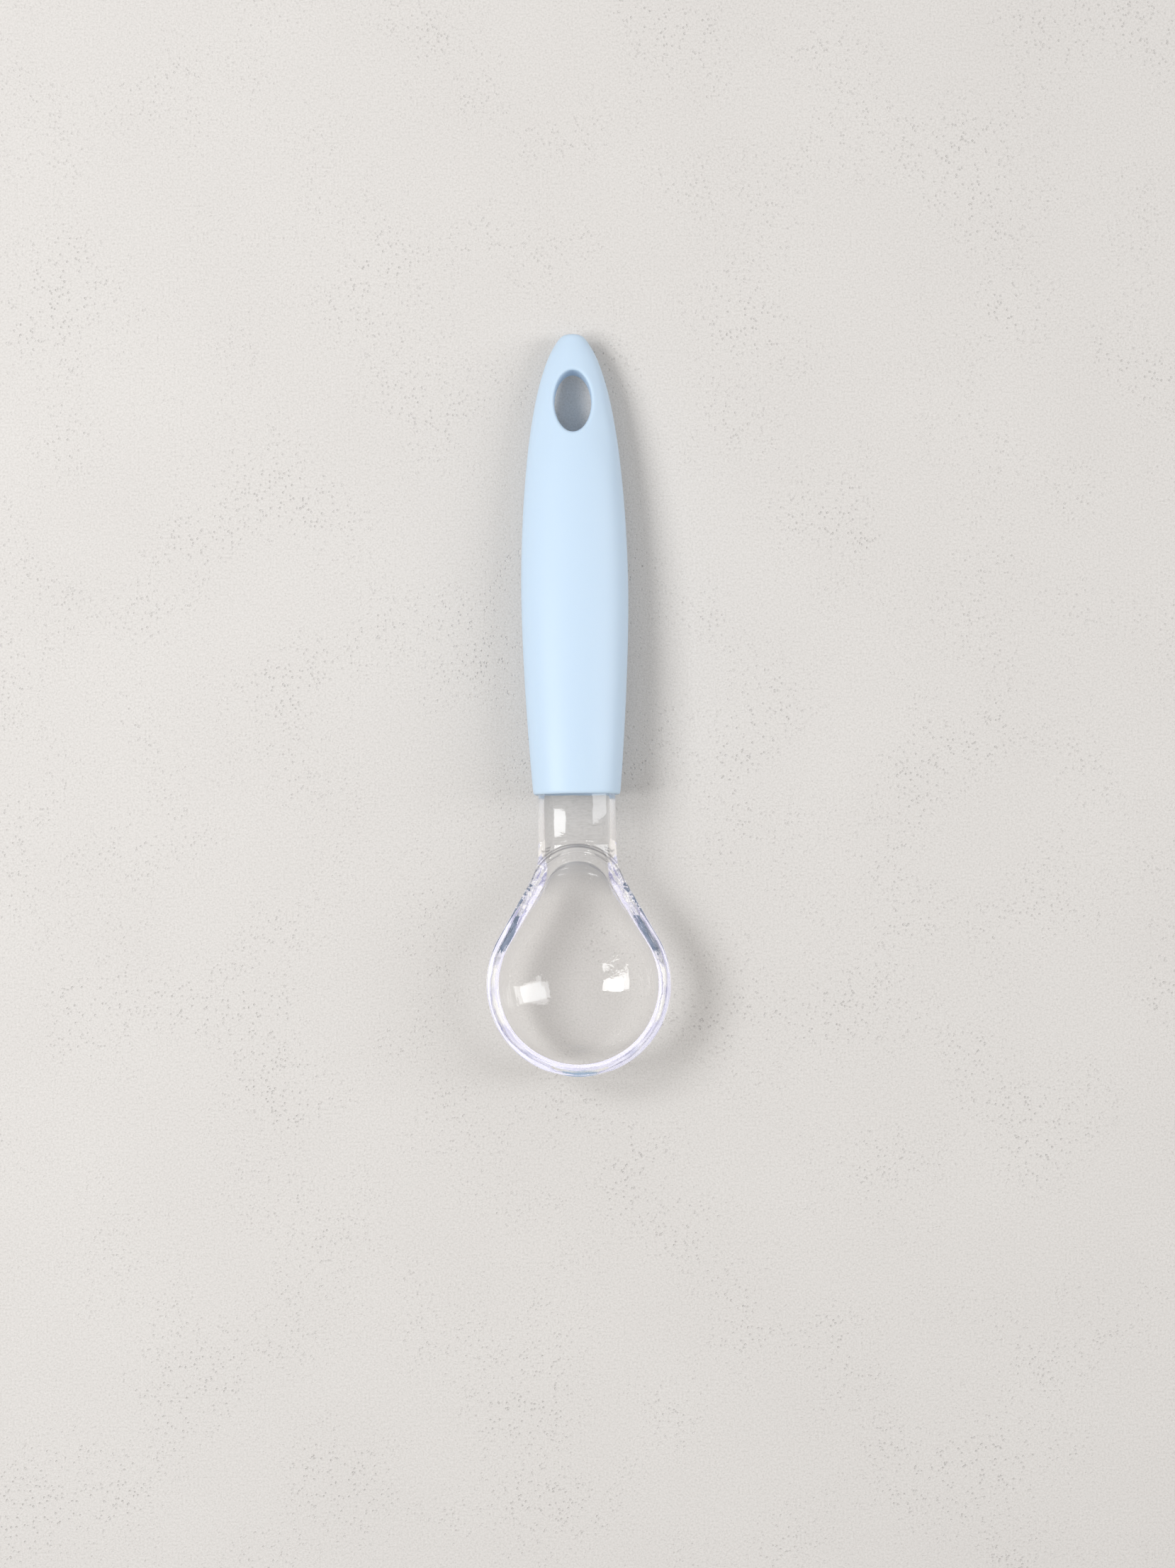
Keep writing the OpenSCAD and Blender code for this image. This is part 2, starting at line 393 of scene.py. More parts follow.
def socket_glow_mask(graph, layout):
    """Is 1 on the wall of the socket, which gets the painted glow, and 0 on the rest of the handle."""
    size = layout.size
    split = graph.add("ShaderNodeSeparateXYZ", {"Vector": graph.here()})
    deep = graph.maths("SUBTRACT", split.outputs["Y"], layout.mouth_y * MM)
    axis_z = graph.maths("SUBTRACT", layout.mouth_z * MM, graph.product(deep, layout.lean))
    above = graph.maths("SUBTRACT", split.outputs["Z"], axis_z)
    across = graph.maths("DIVIDE", split.outputs["X"], (size.neck_w / 2 + 0.6) * MM)
    up = graph.maths("DIVIDE", above, (size.neck_t / 2 + 0.5) * MM)
    out = graph.maths("ADD", graph.product(across, across), graph.product(up, up))
    begun = graph.maths("GREATER_THAN", deep, 0.4 * MM)
    going = graph.maths("LESS_THAN", deep, (size.tang_len + 2) * MM)
    return graph.product(graph.maths("LESS_THAN", out, 1.0), begun, going)


def blue_plastic(size, colours):
    """Satin light blue plastic, a little deeper in the hollows of its fine grain.

    The socket's wall glows with painted light, an emission in place of the light that seeps through the wall, so the
    socket isn't dark where it shows through the clear tang.
    """
    material, graph, shader = new_material("Satin blue plastic")
    blue = colours.handle_blue
    height, rough = add_surface(graph, BLUE_SURFACE)
    dress(graph, shader, {
        "Base Color": graph.blend(height, tinted(blue, 0.97, 0.975, 0.99), tuple(blue)),
        "Normal": graph.bump(height, 0.12, 0.00012),
        "Roughness": rough,
        "IOR": PLASTIC_IOR,
        "Subsurface Weight": 0.08,
        "Subsurface Radius": (0.6, 0.8, 1.0),
        "Subsurface Scale": 0.002,
        # Painted glow: emission in the handle's blue on the socket's wall
        "Emission Color": graph.blend(socket_glow_mask(graph, Layout(size)), (0.0, 0.0, 0.0, 1.0), tuple(blue)),
        "Emission Strength": PAINTED_SOCKET_GLOW,
    })
    return material


# Painted reflections and highlights of the rim: white, violet and dark slate colours set along the bowl, from front to
# neck, that stand in for light that has turned inside the wall and comes out there
PAINTED_RIM_LIGHT = (
    (0.000, (0.90, 0.92, 1.00)), (0.196, (0.85, 0.88, 0.97)), (0.203, (0.16, 0.21, 0.31)), (0.222, (0.28, 0.34, 0.46)),
    (0.236, (0.13, 0.18, 0.28)), (0.247, (0.26, 0.31, 0.42)), (0.252, (0.95, 0.95, 1.00)), (0.258, (0.58, 0.58, 0.78)),
    (0.264, (1.00, 1.00, 1.00)), (0.270, (0.30, 0.32, 0.42)), (0.276, (0.92, 0.92, 1.00)), (0.283, (0.62, 0.62, 0.82)),
    (0.290, (1.00, 1.00, 1.00)), (0.350, (1.00, 1.00, 1.00)), (0.390, (0.84, 0.84, 0.98)), (0.430, (1.00, 1.00, 1.00)),
    (0.510, (1.00, 1.00, 1.00)), (0.540, (0.72, 0.72, 0.93)), (0.640, (0.88, 0.88, 1.00)), (0.700, (0.58, 0.60, 0.78)),
    (0.780, (0.82, 0.82, 0.96)), (1.000, (0.62, 0.62, 0.78)),
)
PAINTED_RIM_LIGHT_LEN = 0.060
# How far the painted streaks shift those colours along the bowl
PAINTED_RIM_SHIFT = 0.035
# Painted streaks of light in its lower part, by noise
PAINTED_RIM_STREAKS = (
    (0.00, (0.88, 0.88, 1.00)), (0.42, (1.00, 1.00, 1.00)), (0.54, (0.78, 0.78, 0.95)), (0.60, (1.00, 1.00, 1.00)),
)
# Painted light and dark lines that run along the rim, by the height of the place where that light comes out
PAINTED_RIM_LINES = (
    (0.00, (0.80, 0.80, 0.92)), (0.22, (0.88, 0.88, 0.98)), (0.36, (0.90, 0.90, 0.98)), (0.45, (0.38, 0.38, 0.52)),
    (0.53, (0.50, 0.50, 0.66)), (0.60, (1.00, 1.00, 1.00)), (1.00, (1.00, 1.00, 1.00)),
)
# Painted dark lines round the cavity's end, where the step and the cavity's edge bend the light, and painted shade
# just inside that end, by distance from the centre of its round
PAINTED_ARCH_LINES = (
    (0.000, (1.00, 1.00, 1.00)), (0.100, (0.87, 0.87, 0.87)), (0.280, (0.70, 0.70, 0.71)), (0.510, (0.52, 0.53, 0.55)),
    (0.530, (0.42, 0.44, 0.50)), (0.545, (0.98, 0.98, 0.98)), (0.655, (0.97, 0.97, 0.98)), (0.675, (0.80, 0.80, 0.82)),
    (0.695, (0.98, 0.98, 0.98)), (0.720, (0.84, 0.84, 0.86)), (0.735, (0.98, 0.98, 0.98)), (0.755, (0.97, 0.97, 0.97)),
    (0.768, (0.28, 0.28, 0.30)), (0.783, (0.30, 0.30, 0.32)), (0.791, (0.90, 0.90, 0.91)), (0.800, (0.90, 0.90, 0.91)),
    (0.808, (0.34, 0.34, 0.36)), (0.820, (0.34, 0.34, 0.36)), (0.832, (0.90, 0.90, 0.90)), (1.000, (0.93, 0.93, 0.93)),
)
PAINTED_ARCH_LINES_LEN = 0.015
# The painted lines stay above this height, off the scoop's underside
PAINTED_ARCH_LINES_ABOVE = 0.007
# How deep the neck sags behind the step, and how high the crumbs of its shoulders stand, in shares of the bump
NECK_SAG = -2.45
CRUMB_HEIGHT = 1.8
# What falls through the wall seen flat on and edge on, and how much the thick rim and the neck let through
VEIL = ((0.0, (0.99, 0.99, 0.99)), (1.0, (0.80, 0.80, 0.82)))
THICK_SHARE = (0.30, 0.30, 0.30, 1.0)
NECK_SHARE = 0.25
# Light that turns in the wall more often than this ends on a painted sheen, a diffuse colour set by place, which is
# partly lit from behind
TURNS = 2.5
PAINTED_SHEEN_BACK_SHARE = 0.45


class ClearPlaces:
    """Places on the scoop as the clear plastic's nodes have them, in metres."""

    def __init__(self, graph, layout):
        size = layout.size
        self.object = graph.here()
        split = graph.add("ShaderNodeSeparateXYZ", {"Vector": self.object})
        self.x, self.y, self.z = (split.outputs[axis] for axis in "XYZ")
        self.aside = graph.maths("ABSOLUTE", self.x)
        self.past = graph.maths("SUBTRACT", self.y, (layout.bowl_y + size.arch_reach - size.arch_r) * MM)
        squares = graph.product(self.x, self.x), graph.product(self.past, self.past)
        self.away = graph.maths("SQRT", graph.maths("ADD", *squares))


def clear_height(graph, size, at, moulding):
    """The moulding's waves, the sag of the neck behind the step, and crumbs on the two shoulders."""
    step_end = (size.arch_r + size.rim_back + size.step_r) * MM
    rise = graph.grade(at.past, step_end, step_end + 9 * MM, 1.0, 0.0)
    sag = graph.product(graph.maths("POWER", rise, 2.0), NECK_SAG)
    crumbs = graph.noise(at.object, 430.0, 2.0)
    beside = graph.maths("ABSOLUTE", graph.maths("SUBTRACT", at.past, 1 * MM))
    shoulders = graph.product(
        graph.grade(at.aside, 6 * MM, 9 * MM),
        graph.grade(beside, 6 * MM, 3 * MM),
        graph.grade(at.z, (size.bowl_h - 4) * MM, (size.bowl_h - 2) * MM))
    broken = graph.product(crumbs, shoulders, CRUMB_HEIGHT)
    return graph.maths("ADD", graph.maths("ADD", moulding, sag), broken)


def tint_with_painted_arch_lines(graph, colours, at):
    """The clear plastic's tint, with painted dark lines and painted shade round the cavity's end."""
    painted_lines = graph.ramp(graph.maths("DIVIDE", at.away, PAINTED_ARCH_LINES_LEN), PAINTED_ARCH_LINES)
    above = graph.maths("GREATER_THAN", at.z, PAINTED_ARCH_LINES_ABOVE)
    share = graph.product(graph.grade(at.past, -1 * MM, 4 * MM), above)
    return graph.blend(share, tuple(colours.clear_tint), painted_lines, "MULTIPLY")


def fallen_light(graph, size, at):
    """The share of the light that falls through the wall: less at its edges, its rim and its neck."""
    edge = graph.add("ShaderNodeLayerWeight", {"Blend": 0.35}).outputs["Facing"]
    near_rim = graph.grade(at.z, (size.bowl_h - 6) * MM, (size.bowl_h - 3) * MM)
    neck = graph.grade(at.past, -8 * MM, 6 * MM)
    open_rim = graph.product(near_rim, graph.maths("SUBTRACT", 1.0, neck))
    thick = graph.maths("ADD", open_rim, graph.product(neck, NECK_SHARE))
    return graph.blend(thick, graph.ramp(edge, VEIL), THICK_SHARE, "MULTIPLY")


def painted_sheen_colour(graph, layout, colours, at, in_neck):
    """The painted sheen's colour: reflections and highlights set by place on the scoop, standing in for light that has
    turned inside the wall, and the floor's colour in the neck.
    """
    size = layout.size
    flat = graph.add("ShaderNodeMapping", {"Vector": at.object, "Scale": (1.0, 1.0, 4.0)})
    streaks = graph.noise(flat.outputs["Vector"], 320.0, 3.0)
    front = (layout.bowl_y - layout.bowl_r) * MM
    along = graph.maths("DIVIDE", graph.maths("SUBTRACT", at.y, front), PAINTED_RIM_LIGHT_LEN)
    shift = graph.product(graph.maths("SUBTRACT", streaks, 0.5), PAINTED_RIM_SHIFT)
    painted_rim_glow = graph.ramp(graph.maths("ADD", along, shift), PAINTED_RIM_LIGHT)
    upper = graph.grade(at.z, (size.bowl_h - 6) * MM, (size.bowl_h - 4) * MM)
    seen = graph.blend(upper, graph.ramp(streaks, PAINTED_RIM_STREAKS), painted_rim_glow)
    painted_lines = graph.ramp(graph.maths("DIVIDE", at.z, size.bowl_h * MM), PAINTED_RIM_LINES)
    painted_lined_glow = graph.blend(1.0, seen, painted_lines, "MULTIPLY")
    return graph.blend(in_neck, painted_lined_glow, tuple(colours.floor_pale))


def clear_plastic(size, colours):
    """Polished clear plastic with the slow waves of a thick moulding.

    Light that falls through it onto other things goes straight on, so that its shadow stays pale.
    Where light has turned many times inside its wall, a painted sheen takes over: a diffuse colour set by place on the
    rim, standing in for the light that comes out there.
    """
    material, graph, shader = new_material("Clear plastic")
    layout = Layout(size)
    at = ClearPlaces(graph, layout)
    moulding, rough = add_surface(graph, CLEAR_SURFACE)
    dress(graph, shader, {
        # Base colour: the clear tint, with painted dark lines and painted shade round the cavity's end
        "Base Color": tint_with_painted_arch_lines(graph, colours, at),
        "Normal": graph.bump(clear_height(graph, size, at, moulding), 0.35, 0.0007),
        "Roughness": rough,
        "Metallic": 0.0,
        "Transmission Weight": 1.0,
        "IOR": PLASTIC_IOR,
    })
    in_neck = graph.maths("GREATER_THAN", at.past, (size.arch_r + 3) * MM)
    colour = painted_sheen_colour(graph, layout, colours, at, in_neck)
    # The painted sheen: a diffuse colour set by place, lit from the front and partly from behind, in place of the
    # rim's reflections
    painted_sheen = graph.add("ShaderNodeBsdfDiffuse", {"Color": colour}).outputs["BSDF"]
    painted_back_sheen = graph.add("ShaderNodeBsdfTranslucent", {"Color": colour}).outputs["BSDF"]
    sides = graph.add("ShaderNodeAddShader", {0: painted_sheen, 1: painted_back_sheen}).outputs["Shader"]
    painted_sheen_shader = graph.add("ShaderNodeMixShader", {0: PAINTED_SHEEN_BACK_SHARE, 1: painted_sheen, 2: sides}).outputs["Shader"]

    # Light that has turned often in the wall, or once in the neck, shows the painted sheen instead of the plastic
    path = graph.add("ShaderNodeLightPath", {}).outputs
    often = graph.maths("GREATER_THAN", path["Glossy Depth"], TURNS)
    once = graph.product(graph.maths("GREATER_THAN", path["Glossy Depth"], 0.5), in_neck)
    shows_painted_sheen = graph.maths("MAXIMUM", often, once)
    bent = graph.add("ShaderNodeMixShader", {0: shows_painted_sheen, 1: shader.outputs["BSDF"], 2: painted_sheen_shader}).outputs["Shader"]
    falls = graph.maths("MAXIMUM", path["Is Shadow Ray"], path["Is Diffuse Ray"])
    straight = graph.add("ShaderNodeBsdfTransparent", {"Color": fallen_light(graph, size, at)}).outputs["BSDF"]
    both = graph.add("ShaderNodeMixShader", {0: falls, 1: bent, 2: straight}).outputs["Shader"]
    graph.links.new(both, graph.nodes["Material Output"].inputs["Surface"])
    return material


# The handle

HANDLE_SIDES = 20
# Distances of the rings from the tail, before the hole and over the grip behind it
TAIL_STATIONS = (0.0, 0.2, 0.9, 2.4, 4.6)
GRIP_STATIONS = (30.0, 38.0, 47.0, 56.0, 64.0, 74.0, 84.0, 93.0, 101.0, 107.0)
# Rings over the hole, in shares of its reach from its centre
HOLE_STATIONS = (-1.0, -0.45, 0.0, 0.45, 1.0)
# How far the hole's outermost ring stands out, and the rings of its rounded edge, in shares of the rounding
HOLE_OUT = 1.7
HOLE_EDGE = ((1.05, 0.02), (0.35, 0.3), (0.0, 1.15), (0.0, 2.6))
# Rings of the mouth's edge, by distance from the mouth and inset
MOUTH_EDGE = ((1.6, 0.0), (0.45, 0.0), (0.0, 0.35))
# The socket's rings. The first is a little past the mouth's plane: two rings in one plane join inside out
SOCKET_START = (0.06, 0.4)
SOCKET_STATIONS = (24.0, 42.0)
# Subdivision draws the tail's tip and the socket's wall in, so they are made this much larger
TAIL_BLUNTING = 0.9
SOCKET_EASE = 0.16
SUBDIVISIONS = 3


def handle_point(layout, s, turn, grow):
    """A place on the handle's skin, s from its tail."""
    size = layout.size
    x = (layout.half(s, size.handle_w, size.mouth_w) + grow) * math.cos(turn)
    up = (layout.half(s, size.handle_t, size.mouth_t) + grow) * math.sin(turn)
    return layout.from_mouth(x, size.handle_len - s, up)


def tang_half(size, d, full, end):
    """Half width or thickness of the tang at d into the mouth."""
    t = clamp01((d - size.collar_len) / (size.tang_len - size.collar_len))
    return mix(full, end, t) / 2


def tang_point(layout, d, grown, turn):
    """A place on the tang's skin, d into the mouth, or in the socket's wall where it is grown."""
    size = layout.size
    x = (tang_half(size, d, size.neck_w, size.tang_w) + grown) * math.cos(turn)
    up = (tang_half(size, d, size.neck_t, size.tang_t) + grown) * math.sin(turn)
    return layout.from_mouth(x, d, up)


def hole_point(layout, turn, out, sunk, side):
    """A place on the hole's rounded edge, out from its narrowest, and sunk below the handle's face."""
    size = layout.size
    x = (size.hole_w / 2 + out) * math.cos(turn)
    s = size.hole_from_tail - (size.hole_len / 2 + out) * math.sin(turn)
    across = layout.half(s, size.handle_w, size.mouth_w)
    face = layout.half(s, size.handle_t, size.mouth_t) * math.sqrt(max(0.0, 1 - (x / across) ** 2))
    return layout.from_mouth(x, size.handle_len - s, side * (face - sunk))


def open_hole(bm, layout, rings, side):
    """Opens the hole in one side of the tail and rounds its edge. Returns the edges of its inner loop.

    A block of four by four faces comes out. The sixteen points round it go where the hole's edge begins.
    """
    size = layout.size
    quarter = HANDLE_SIDES // 4
    middle = quarter if side > 0 else 3 * quarter
    columns = [(middle + k) % HANDLE_SIDES for k in (-2, -1, 0, 1, 2)]
    block = [[verts[column] for column in columns] for verts, _ in rings]
    corners = {vert for line in block for vert in line}
    near = dict.fromkeys(face for line in block for vert in line for face in vert.link_faces)
    faces = [face for face in near if all(vert in corners for vert in face.verts)]
    bmesh.ops.delete(bm, geom=faces, context="FACES_KEEP_BOUNDARY")
    loop = block[0][:] + [block[row][4] for row in (1, 2, 3)] + block[4][::-1] + [block[row][0] for row in (3, 2, 1)]
    step = 360 / len(loop)
    turns = [math.radians(45 + step * k if side > 0 else 135 - step * k) for k in range(len(loop))]
    for vert, turn in zip(loop, turns):
        vert.co = hole_point(layout, turn, size.hole_round * HOLE_OUT, 0.0, side)
    edges = [bm.edges.get((a, b)) for a, b in zip(loop, loop[1:] + loop[:1])]
    for out, sunk in HOLE_EDGE:
        made = bmesh.ops.extrude_edge_only(bm, edges=edges)
        new = [g for g in made["geom"] if isinstance(g, bmesh.types.BMVert)]
        pairs = {}
        for vert in new:
            for edge in vert.link_edges:
                other = edge.other_vert(vert)
                if other in loop:
                    pairs[other] = vert
        loop = [pairs[vert] for vert in loop]
        edges = [bm.edges.get((a, b)) for a, b in zip(loop, loop[1:] + loop[:1])]
        for vert, turn in zip(loop, turns):
            vert.co = hole_point(layout, turn, size.hole_round * out, size.hole_round * sunk, side)
    return edges


def build_handle(size, colours):
    """The handle: a loft of rings from its tail to its mouth and back down its socket, opened at the hole."""
    layout = Layout(size)
    bm = bmesh.new()
    stretch = 3 / (2 + math.cos(2 * math.pi / HANDLE_SIDES))
    half_w = layout.half(size.widest_at, size.handle_w, size.mouth_w)
    grow = half_w * (stretch - 1) * 0.75

    def at(s, inset=0.0):
        blunt = TAIL_BLUNTING * (1 - clamp01(s / 2)) + grow * ease(s / 3)
        return add_ring(bm, HANDLE_SIDES, lambda turn: handle_point(layout, s, turn, blunt - inset))

    reach = size.hole_len / 2 + size.hole_round * HOLE_OUT
    hole_rings = [at(size.hole_from_tail + reach * share) for share in HOLE_STATIONS]
    tail = [at(s) for s in TAIL_STATIONS]
    grip = [at(s) for s in GRIP_STATIONS]
    edge = [at(size.handle_len - d, inset) for d, inset in MOUTH_EDGE]

    gap = size.fit_gap + SOCKET_EASE

    def inside(d):
        return add_ring(bm, HANDLE_SIDES, lambda turn: tang_point(layout, d, gap, turn))

    collar = (size.collar_len / 2, size.collar_len)
    socket = [inside(d) for d in (*SOCKET_START, *collar, *SOCKET_STATIONS, size.tang_len + size.fit_gap)]
    skin(bm, tail + hole_rings + grip + edge + socket)
    top = open_hole(bm, layout, hole_rings, 1)
    bottom = open_hole(bm, layout, hole_rings, -1)
    bmesh.ops.bridge_loops(bm, edges=top + bottom)
    bmesh.ops.recalc_face_normals(bm, faces=bm.faces[:])
    handle = finished_object("handle_body", bm, blue_plastic(size, colours))
    finer = handle.modifiers.new("Rounded", "SUBSURF")
    finer.levels = finer.render_levels = SUBDIVISIONS
    return handle


# The scoop

SCOOP_SIDES = 112
CAVITY_SIDES = 120
# Numbers of sections along the front, the flanks, the collar and the tang
FRONT_STEPS = 48
FLANK_STEPS = 44
COLLAR_STEPS = 4
TANG_STEPS = 16
# Share of the points of the cavity's outline that lie on its large round
BIG_ROUND_SHARE = 0.66
# The scoop's outside stands this much over the rim, and the step's cut levels it
RIM_OVER = 0.3
# Turn of the ring's points that make the rim's rounded edge
EDGE_TURN = math.radians(40)
VOXEL = 0.00026


def flank_half(layout, y):
    """Half width of the flanks, which narrow in a straight line and then turn softly into the neck."""
    size = layout.size
    slope = math.radians(size.flare_deg)
    start = layout.bowl_r * math.sin(slope)
    line = layout.bowl_r * math.cos(slope) - (y - start) * math.tan(slope)
    return soft_max(size.neck_w / 2, line, 1.2 * clamp01((y - start) / 8))


def scoop_half(layout, y, inset):
    """Half width of the scoop at y from the bowl's centre."""
    slope = math.radians(layout.size.flare_deg)
    if y < layout.bowl_r * math.sin(slope):
        return math.sqrt(max(0.0, (layout.bowl_r - inset) ** 2 - y * y))
    return flank_half(layout, y) - inset / math.cos(slope)


def under_oval(layout, y, reach):
    """Height of an underside that is a quarter oval, down from the rim's edge at its reach."""
    edge_z = layout.size.bowl_h - layout.size.rim_round
    return edge_z * (1 - math.sqrt(max(0.0, 1 - (y / reach) ** 2)))


def under_z(layout, y):
    """Height of the scoop's underside along its middle."""
    if y < 0:
        return under_oval(layout, y, layout.bowl_r)
    reach = layout.neck_start + 3
    return soft_min(under_oval(layout, y, reach), layout.neck_z - layout.size.neck_t / 2, 3 * clamp01(y / reach))


def scoop_ring(bm, layout, y):
    """One section of the scoop at y from the bowl's centre: a rim that turns into the neck."""
    size = layout.size
    edge_z = size.bowl_h - size.rim_round
    edge_r = size.rim_round + RIM_OVER
    slope = math.radians(size.flare_deg)
    rim = ease((layout.neck_start - y) / (layout.neck_start - 13))
    bend = max(0.0, y - layout.neck_start)
    z = mix(layout.neck_z - layout.lean * bend * bend / (4 * layout.neck_bend), edge_z, rim)
    lean = layout.tilt * bend / (2 * layout.neck_bend)
    w = scoop_half(layout, y, 0.0)
    w_in = max(w / 3, scoop_half(layout, y, edge_r))
    down = z - under_z(layout, y)

    def rim_x(turn):
        if turn < EDGE_TURN:
            return w_in + (w - w_in) * math.cos(turn / EDGE_TURN * math.pi / 2)
        if turn > math.pi - EDGE_TURN:
            return -rim_x(math.pi - turn)
        return w_in * (1 - 2 * (turn - EDGE_TURN) / (math.pi - 2 * EDGE_TURN))

    def place(turn):
        if turn <= math.pi:
            x = mix(w * math.cos(turn), rim_x(turn), rim)
            if y < layout.bowl_r * math.sin(slope):
                inside = layout.bowl_r - math.hypot(x, y)
            else:
                inside = (w - abs(x)) * math.cos(slope)
            u = clamp01(inside / edge_r)
            up = mix(size.neck_t / 2 * math.sin(turn), edge_r * math.sqrt(u * (2 - u)), rim)
        else:
            x = w * math.cos(turn)
            up = down * math.sin(turn)
        return Vector((x, layout.bowl_y + y + up * math.sin(lean), z + up * math.cos(lean))) * MM

    return add_ring(bm, SCOOP_SIDES, place)


def scoop_form(layout):
    """The outside of the scoop, from its front to the end of its tang."""
    size = layout.size
    bm = bmesh.new()
    last = 90 + size.flare_deg
    turns = [math.radians(max(0.25, last * k / FRONT_STEPS)) for k in range(FRONT_STEPS)]
    front = [-layout.bowl_r * math.cos(turn) for turn in turns]
    flank_y = layout.bowl_r * math.sin(math.radians(size.flare_deg))
    rest = [mix(flank_y, size.neck_reach, k / FLANK_STEPS) for k in range(FLANK_STEPS)]
    rings = [scoop_ring(bm, layout, y) for y in front + rest]

    def tang(d, inset):
        return add_ring(bm, SCOOP_SIDES, lambda turn: tang_point(layout, d, -inset, turn))

    straight = size.tang_len - 1
    rings += [tang(size.collar_len * k / COLLAR_STEPS, 0.0) for k in range(COLLAR_STEPS + 1)]
    rings += [tang(mix(size.collar_len, straight, k / TANG_STEPS), 0.0) for k in range(1, TANG_STEPS + 1)]
    for turn in (math.radians(30), math.radians(60), math.radians(90)):
        rings.append(tang(straight + math.sin(turn), 1 - math.cos(turn)))
    skin(bm, rings)
    return finished_object("scoop_body", bm, None)


def teardrop(r, end_r, reach, turn):
    """A point of the cavity's outline: a large round, a small one towards the neck, and their tangents."""
    far = reach - end_r
    lean = math.asin((r - end_r) / far)
    share = math.degrees(turn) / 360
    if share < BIG_ROUND_SHARE:
        angle = math.pi - lean + (math.pi + 2 * lean) * share / BIG_ROUND_SHARE
        return r * math.cos(angle), r * math.sin(angle)
    rest = 1 - BIG_ROUND_SHARE - 1 / CAVITY_SIDES
    angle = lean + (math.pi - 2 * lean) * (share - BIG_ROUND_SHARE) / rest
    return end_r * math.cos(angle), far + end_r * math.sin(angle)


def cavity_form(layout):
    """What the bowl is hollowed with."""
    size = layout.size
    bm = bmesh.new()
    r, end_r, reach = layout.bowl_r - size.rim_w, size.arch_r, size.arch_reach
    depth = size.bowl_h - size.floor_t

    def ring(f, out, z):
        def place(turn):
            x, y = teardrop(r + out, end_r + out, reach + out, turn)
            return Vector((f * x, layout.bowl_y + f * y, z)) * MM
        return add_ring(bm, CAVITY_SIDES, place)

    rings = []
    for k in range(34):
        q = math.radians(89.5 - 78 * k / 33)
        rings.append(ring(math.cos(q), 0.0, size.bowl_h - depth * math.sin(q)))
    for k in range(8):
        q = math.radians(10.5 * k)
        rings.append(ring(1.0, size.rim_round * (1 - math.cos(q)), size.bowl_h - size.rim_round * (1 - math.sin(q))))
    rings.append(ring(1.0, size.rim_round + 4, size.bowl_h + 4))
    skin(bm, rings)
    return finished_object("cavity_cut", bm, None)


def step_form(layout):
    """What levels the rim and hollows the step that goes up from it to the neck."""
    size = layout.size
    bm = bmesh.new()
    end_r = size.arch_r + size.rim_back

    def ring(out, up):
        def place(turn):
            x, y = teardrop(layout.bowl_r + 1 + out, end_r + out, layout.neck_start + out, turn)
            return Vector((x, layout.bowl_y + y, size.bowl_h + up)) * MM
        return add_ring(bm, CAVITY_SIDES, place)

    turns = [math.radians(7.5 * k) for k in range(13)]
    rings = [ring(size.step_r * math.sin(q), size.step_r * (1 - math.cos(q))) for q in turns]
    rings.append(ring(size.step_r, size.neck_t))
    skin(bm, rings)
    return finished_object("step_cut", bm, None)


def build_scoop(size, colours):
    """The scoop: its outside, cut by the step and the cavity, in an even mesh that shows no seams of the cuts."""
    layout = Layout(size)
    scoop = scoop_form(layout)
    for cutter in (step_form(layout), cavity_form(layout)):
        cut = scoop.modifiers.new(cutter.name, "BOOLEAN")
        cut.operation = "DIFFERENCE"
        cut.solver = "EXACT"
        cut.object = cutter
        apply_modifiers(scoop)
        bpy.data.objects.remove(cutter)
    even = scoop.modifiers.new("Even", "REMESH")
    even.mode = "VOXEL"
    even.voxel_size = VOXEL
    even.use_smooth_shade = True
    smooth = scoop.modifiers.new("Smooth", "SMOOTH")
    smooth.factor = 0.5
    smooth.iterations = 3
    fewer = scoop.modifiers.new("Fewer", "DECIMATE")
    fewer.ratio = 0.5
    apply_modifiers(scoop)
    scoop.data.materials.clear()
    scoop.data.materials.append(clear_plastic(size, colours))
    return scoop


# The studio

FLOOR_HALF = 1.5
# The floor's dust by its specks, and the share of its tooth in its bump
DUST = ((0.32, (0.86, 0.86, 0.85)), (0.50, (0.99, 0.99, 0.99)), (0.68, (1.07, 1.07, 1.07)))
TOOTH_SHARE = 0.35
# Name, place, aim, width, length, watts, colour, and whether things show a highlight of it
SOFTBOXES = (
    ("key", (-0.70, 0.28, 0.85), (0.0, -0.03, 0.0), 0.34, 0.42, 4.6, (0.97, 0.98, 0.985), False),
    ("window", (-0.67, -0.07, 0.87), (0.0, -0.03, 0.0), 0.24, 0.50, 3.7, (0.97, 0.98, 0.985), True),
    ("fill", (0.98, 0.08, 0.78), (0.0, -0.04, 0.0), 0.34, 0.95, 5.3, (0.97, 0.99, 1.01), True),
)
# Colours of the room from its foot up, and its strength as light and as what things show of it
ROOM = ((0.0, (0.78, 0.745, 0.72)), (0.75, (1.0, 0.96, 0.915)))
ROOM_LIT = 0.495
ROOM_SEEN = 1.0
LENS = 89.3
CAMERA_PLACE = (0.0026, -0.0194, 0.950)
CAMERA_ROLL = math.radians(-0.6)


